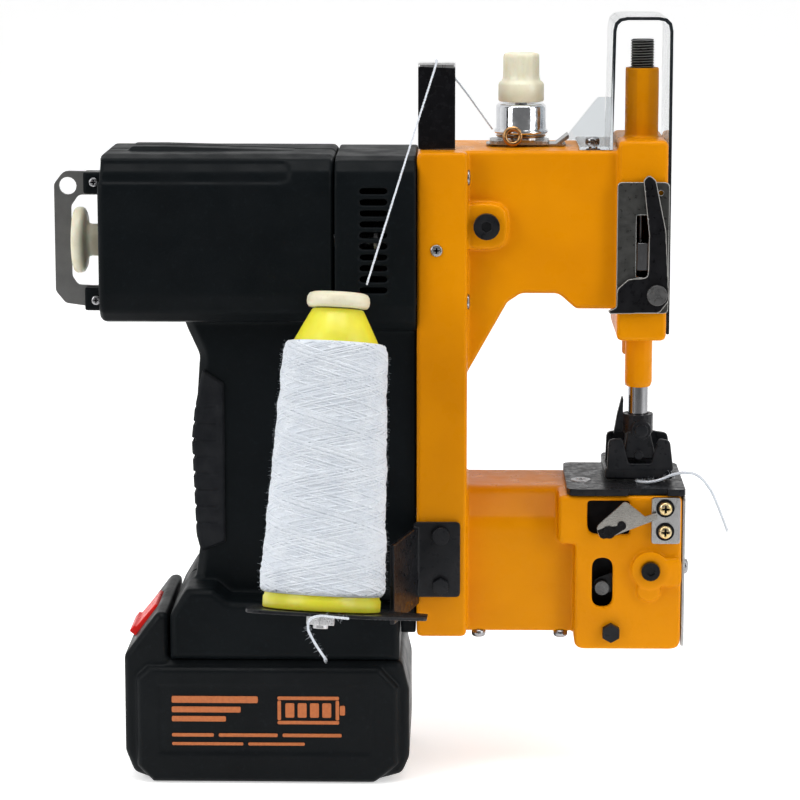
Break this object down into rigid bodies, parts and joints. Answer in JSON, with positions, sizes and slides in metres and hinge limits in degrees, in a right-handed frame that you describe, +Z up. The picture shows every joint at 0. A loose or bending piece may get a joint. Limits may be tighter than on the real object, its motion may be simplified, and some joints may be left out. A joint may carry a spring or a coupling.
{
  "type": "bag closer sewing machine",
  "caption": "Hand-held cordless bag closer: motor and grip over a slide-on battery, a C-shaped casting with needle and presser, and a thread cone on a side tray.",
  "frame": {"origin": "middle of the battery's flat bottom face, on which the machine stands", "axes": "+Z up, +X from the motor towards the needle, -Y towards the operator and the thread cone"},
  "size_m": [0.2751, 0.1568, 0.31],
  "materials": {
    "yellow_paint": "glossy stoved enamel on an aluminium die casting",
    "black_shell": "fine-textured glass-filled nylon",
    "soft_rubber": "matt thermoplastic rubber",
    "cream_plastic": "moulded nylon, unpainted",
    "steel": "bright machined or rolled steel",
    "chrome": "polished chrome plate",
    "black_steel": "black oxide, satin",
    "brass": "yellow zinc plate",
    "clear_acrylic": "clear bent acrylic with dark cut edges",
    "cone_yellow": "injection-moulded polypropylene",
    "white_thread": "spun polyester sewing thread, slightly fuzzy",
    "red_plastic": "moulded ABS",
    "cell_wrap": null
  },
  "bodies": {
    "frame": {"body_casting": "yellow_paint", "rear_cover": "yellow_paint", "motor_shell_front": "black_shell", "motor_shell_back": "black_shell", "belt_case": "black_shell", "trigger_switch": "black_shell", "grip_overmold": "soft_rubber", "drive_belt": "soft_rubber", "hanger_bracket": "steel", "motor_can": "steel", "shaft_bearing_left": "steel", "shaft_bearing_right": "steel", "presser_spring": "steel", "lifter_plate": "steel", "lifter_pin": "steel", "fixed_knife": "steel", "tension_base": "steel", "spool_pin": "steel", "tension_cup": "chrome", "lever_pivot_bolt": "black_steel", "needle_plate": "black_steel", "end_cover": "black_steel", "adjust_bolt": "black_steel", "thread_guide": "black_steel", "spool_bracket": "black_steel", "spool_bolt_upper": "black_steel", "spool_bolt_lower": "black_steel", "knife_screw_upper": "brass", "knife_screw_lower": "brass", "finger_guard": "clear_acrylic", "upper_thread": "white_thread", "chain_tail": "white_thread", "cone_tail": "white_thread"},
    "motor_rotor": {"handwheel": "cream_plastic", "motor_shaft": "steel", "cooling_fan": "black_shell", "motor_pulley": "steel"},
    "main_shaft": {"main_shaft": "steel", "shaft_pulley": "steel"},
    "needle_lever": {"needle_lever": "steel"},
    "needle_bar": {"needle_bar": "chrome", "needle": "chrome"},
    "connecting_rod": {"connecting_rod": "steel"},
    "feed_dog": {"feed_dog": "steel"},
    "looper": {"looper": "steel", "looper_shaft": "black_steel"},
    "moving_knife": {"moving_knife": "steel"},
    "presser_bar": {"presser_bar": "chrome", "presser_foot": "black_steel"},
    "presser_sole": {"presser_sole": "black_steel"},
    "lifter_lever": {"lifter_lever": "black_steel"},
    "pressure_screw": {"pressure_screw": "black_steel"},
    "tension_knob": {"tension_knob": "cream_plastic"},
    "spool": {"thread_cone": "cone_yellow", "thread_pack": "white_thread", "cone_cap": "cream_plastic"},
    "trigger": {"trigger": "black_shell"},
    "battery": {"battery_case": "black_shell", "battery_cells": "cell_wrap"},
    "release_button": {"release_button": "red_plastic"}
  },
  "joints": [
    {"name": "main_shaft_spin", "type": "hinge", "parent": "frame", "child": "main_shaft", "pos_m": [0.09, 0, 0.097], "axis": [1, 0, 0], "continuous": true},
    {"name": "motor_spin", "type": "hinge", "parent": "frame", "child": "motor_rotor", "pos_m": [0, 0, 0.218], "axis": [1, 0, 0], "continuous": true},
    {"name": "lever_rock", "type": "hinge", "parent": "frame", "child": "needle_lever", "pos_m": [0.09, 0, 0.2275], "axis": [0, 1, 0], "range_deg": [0, 26]},
    {"name": "needle_stroke", "type": "slide", "parent": "frame", "child": "needle_bar", "axis": [0, 0, 1], "range_m": [-0.0288, 0]},
    {"name": "rod_stroke", "type": "slide", "parent": "frame", "child": "connecting_rod", "axis": [0, 0, 1], "range_m": [0, 0.0077]},
    {"name": "feed_motion", "type": "slide", "parent": "frame", "child": "feed_dog", "axis": [1, 0, 0], "range_m": [0, 0.003]},
    {"name": "looper_swing", "type": "hinge", "parent": "frame", "child": "looper", "pos_m": [0.1567, 0, 0.088], "axis": [0, 1, 0], "range_deg": [0, 8.1]},
    {"name": "knife_swing", "type": "hinge", "parent": "frame", "child": "moving_knife", "pos_m": [0.1398, -0.033, 0.1042], "axis": [0, 1, 0], "range_deg": [0, 6.1]},
    {"name": "presser_lift", "type": "slide", "parent": "frame", "child": "presser_bar", "axis": [0, 0, 1], "range_m": [0, 0.0065], "stiffness_N_per_m": 800, "springref_m": -0.006, "deforming": ["presser_spring"]},
    {"name": "presser_tilt", "type": "hinge", "parent": "presser_bar", "child": "presser_sole", "pos_m": [0.1523, -0.008, 0.1325], "axis": [0, 1, 0], "range_deg": [-3, 3]},
    {"name": "lifter_turn", "type": "hinge", "parent": "frame", "child": "lifter_lever", "pos_m": [0.1579, -0.03, 0.2003], "axis": [0, 1, 0], "range_deg": [0, 70]},
    {"name": "pressure_turn", "type": "hinge", "parent": "frame", "child": "pressure_screw", "pos_m": [0.1523, -0.008, 0.29], "axis": [0, 0, 1], "range_deg": [-360, 360]},
    {"name": "tension_turn", "type": "hinge", "parent": "frame", "child": "tension_knob", "pos_m": [0.104, 0, 0.285], "axis": [0, 0, 1], "range_deg": [-360, 360]},
    {"name": "spool_spin", "type": "hinge", "parent": "frame", "child": "spool", "pos_m": [0.0263, -0.088, 0.0853], "axis": [0.0506, 0.2077, 0.9769], "continuous": true},
    {"name": "trigger_pull", "type": "slide", "parent": "frame", "child": "trigger", "axis": [-1, 0, 0], "range_m": [0, 0.005], "stiffness_N_per_m": 600, "springref_m": -0.002},
    {"name": "battery_slide", "type": "slide", "parent": "frame", "child": "battery", "axis": [-1, 0, 0], "range_m": [0, 0.09]},
    {"name": "release_press", "type": "slide", "parent": "battery", "child": "release_button", "axis": [0.766, 0, -0.6428], "range_m": [0, 0.0025], "stiffness_N_per_m": 500, "springref_m": -0.002}
  ],
  "couplings": [
    {"joint": "motor_spin", "follows": "main_shaft_spin", "ratio": 2.25},
    {"joint": "needle_stroke", "follows": "lever_rock", "m_per_rad": -0.06339},
    {"joint": "rod_stroke", "follows": "lever_rock", "m_per_rad": 0.01685},
    {"joint": "feed_motion", "follows": "lever_rock", "m_per_rad": 0.0066},
    {"joint": "looper_swing", "follows": "lever_rock", "ratio": 0.3077},
    {"joint": "knife_swing", "follows": "lever_rock", "ratio": 0.2308},
    {"joint": "lifter_turn", "follows": "presser_lift", "rad_per_m": 187}
  ]
}
